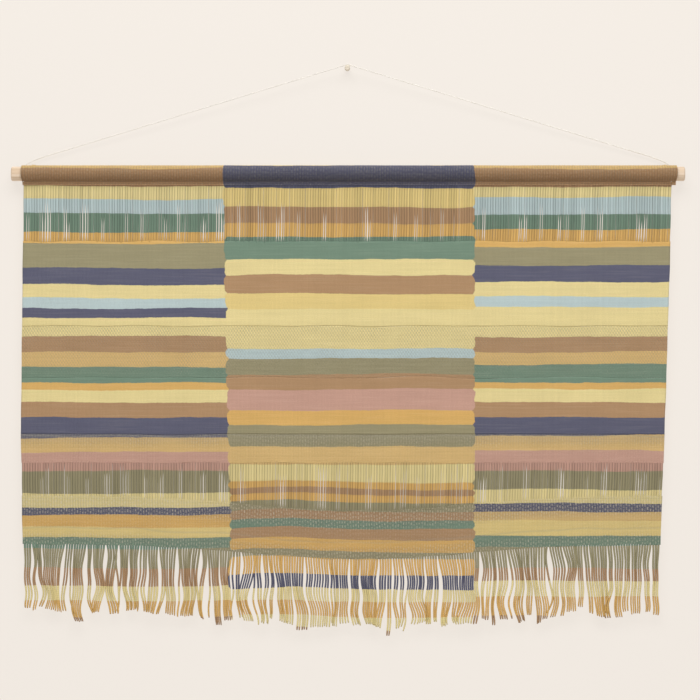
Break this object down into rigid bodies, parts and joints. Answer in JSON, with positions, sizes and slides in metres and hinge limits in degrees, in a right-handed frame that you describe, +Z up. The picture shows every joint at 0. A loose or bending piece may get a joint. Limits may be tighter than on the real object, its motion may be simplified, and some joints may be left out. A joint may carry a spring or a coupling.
{
  "type": "tapestry wall hanging",
  "caption": "Wide woven cotton wall hanging with printed uneven stripes, open warp bands and a fringe, on a round wooden dowel hung by a thin cord over a wall peg.",
  "frame": {"origin": "middle of the peg's back face, on the wall's surface", "axes": "+X to the right as one faces the wall and along the dowel, +Y into the wall, +Z up"},
  "size_m": [0.825, 0.0395, 0.6964],
  "materials": {
    "peg_wood": "pale turned wood, sealed, fine end grain",
    "nail_steel": "plain drawn steel",
    "hanging_cord": "thin three-strand white cotton cord, matt",
    "dowel_wood": "pale bare wood, straight grain, sanded, chamfered ends",
    "printed_cloth": "matt woven cotton, printed on the face with uneven painted stripes, undyed cream on the back",
    "warp_yarn": "matt spun cotton warp yarns left bare, printed with the stripes that cross them",
    "fringe_yarn": "loose spun cotton warp ends, printed, slightly wavy and clumped",
    "seam_thread": "sewing thread in a straight lock stitch"
  },
  "bodies": {
    "wall_peg_body": {"wall_peg": "peg_wood", "peg_nail": "nail_steel"},
    "cord_over_peg": {"cord_bight": "hanging_cord"},
    "cord_legs": {"cord_left": "hanging_cord", "cord_right": "hanging_cord", "cord_tie_left": "hanging_cord", "cord_tie_right": "hanging_cord"},
    "pocket": {"rod_pocket": "printed_cloth", "pocket_seam": "seam_thread", "upper_warp_1": "warp_yarn", "upper_warp_2": "warp_yarn", "upper_warp_3": "warp_yarn", "upper_warp_4": "warp_yarn", "upper_warp_5": "warp_yarn", "upper_warp_6": "warp_yarn", "upper_warp_7": "warp_yarn", "upper_warp_8": "warp_yarn"},
    "dowel_body": {"dowel": "dowel_wood"},
    "upper_cloth": {"plain_upper": "printed_cloth", "waffle_band": "printed_cloth", "plain_lower": "printed_cloth", "rib_band": "printed_cloth"},
    "hem": {"lower_warp_1": "warp_yarn", "lower_warp_2": "warp_yarn", "lower_warp_3": "warp_yarn", "lower_warp_4": "warp_yarn", "lower_warp_5": "warp_yarn", "lower_warp_6": "warp_yarn", "lower_warp_7": "warp_yarn", "lower_warp_8": "warp_yarn", "hem_band": "printed_cloth"},
    "fringe": {"fringe_01": "fringe_yarn", "fringe_02": "fringe_yarn", "fringe_03": "fringe_yarn", "fringe_04": "fringe_yarn", "fringe_05": "fringe_yarn", "fringe_06": "fringe_yarn", "fringe_07": "fringe_yarn", "fringe_08": "fringe_yarn", "fringe_09": "fringe_yarn", "fringe_10": "fringe_yarn", "fringe_11": "fringe_yarn", "fringe_12": "fringe_yarn", "fringe_13": "fringe_yarn", "fringe_14": "fringe_yarn", "fringe_15": "fringe_yarn", "fringe_16": "fringe_yarn", "fringe_17": "fringe_yarn", "fringe_18": "fringe_yarn"}
  },
  "joints": [
    {"name": "level_tilt", "type": "hinge", "parent": "wall_peg_body", "child": "cord_over_peg", "pos_m": [0, -0.0126, 0], "axis": [0, 1, 0], "range_deg": [-8, 8]},
    {"name": "swing_out", "type": "hinge", "parent": "cord_over_peg", "child": "cord_legs", "pos_m": [0, -0.0126, 0.0032], "axis": [-1, 0, 0], "range_deg": [0, 25]},
    {"name": "pocket_turn", "type": "hinge", "parent": "cord_legs", "child": "pocket", "pos_m": [0, -0.0122, -0.13], "axis": [-1, 0, 0], "range_deg": [0, 60]},
    {"name": "dowel_slide", "type": "slide", "parent": "pocket", "child": "dowel_body", "axis": [1, 0, 0], "range_m": [-0.01, 0.01]},
    {"name": "upper_fold", "type": "hinge", "parent": "pocket", "child": "upper_cloth", "pos_m": [0, -0.0122, -0.2126], "axis": [-1, 0, 0], "range_deg": [0, 50]},
    {"name": "lower_fold", "type": "hinge", "parent": "upper_cloth", "child": "hem", "pos_m": [0, -0.0122, -0.484], "axis": [-1, 0, 0], "range_deg": [0, 50]},
    {"name": "fringe_swing", "type": "hinge", "parent": "hem", "child": "fringe", "pos_m": [0, -0.0122, -0.592], "axis": [-1, 0, 0], "range_deg": [-6, 50]}
  ]
}
